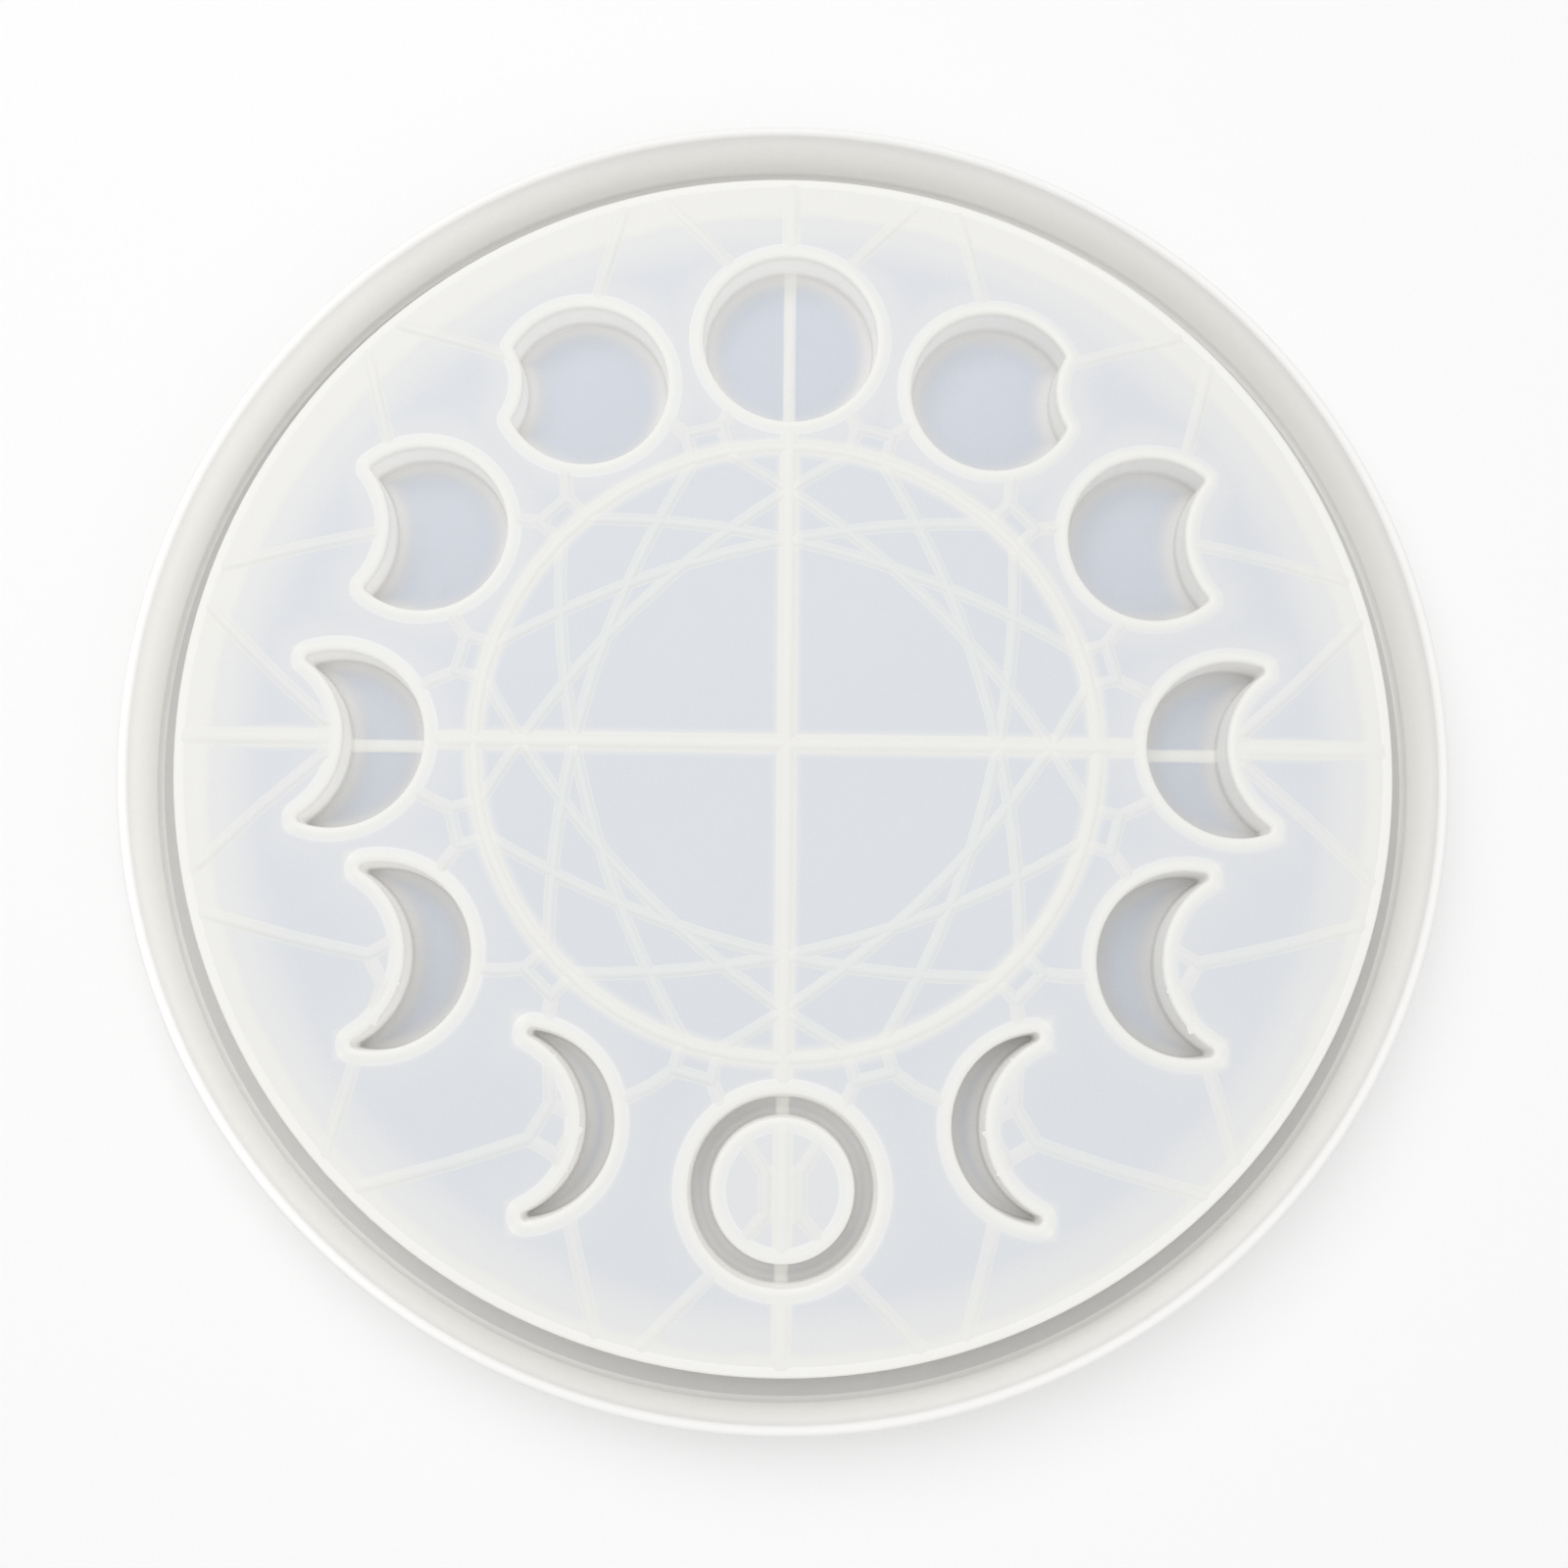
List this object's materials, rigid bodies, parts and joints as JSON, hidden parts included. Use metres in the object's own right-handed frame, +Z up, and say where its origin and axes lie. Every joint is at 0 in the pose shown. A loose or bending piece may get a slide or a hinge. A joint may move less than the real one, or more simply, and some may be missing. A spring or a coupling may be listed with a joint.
{
  "type": "resin casting mould",
  "caption": "Round tray-shaped silicone mould with a raised deck, a ring of moon-phase pockets, fine raised line pattern, surrounding channel and flared rim, for casting a resin board.",
  "frame": {"origin": "centre of the underside, on the surface the mould rests on", "axes": "+Z up out of the open side, +Y from the centre to the full moon, +X to the waning moons"},
  "size_m": [0.2054, 0.2054, 0.0124],
  "materials": {
    "silicone_thin": "satin, milky and see-through where thin",
    "silicone_thick": "satin, milky white where thick or seen on edge"
  },
  "bodies": {
    "root": {"outer_rim": "silicone_thick", "channel_floor": "silicone_thin", "deck_side_wall": "silicone_thick", "deck_plate": "silicone_thin", "deck_line_work": "silicone_thick", "new_moon_island": "silicone_thin", "island_line_work": "silicone_thick", "full_moon_cup": "silicone_thin", "new_moon_trough": "silicone_thin", "waning_near_full_cup": "silicone_thin", "waning_gibbous_cup": "silicone_thin", "waning_half_cup": "silicone_thin", "waning_crescent_cup": "silicone_thin", "waning_thin_crescent_cup": "silicone_thin", "waxing_near_full_cup": "silicone_thin", "waxing_gibbous_cup": "silicone_thin", "waxing_half_cup": "silicone_thin", "waxing_crescent_cup": "silicone_thin", "waxing_thin_crescent_cup": "silicone_thin", "ring_wall": "silicone_thick", "centre_cross_wall": "silicone_thick", "east_wall": "silicone_thick", "north_wall": "silicone_thick", "west_wall": "silicone_thick", "south_wall": "silicone_thick"}
  },
  "joints": []
}
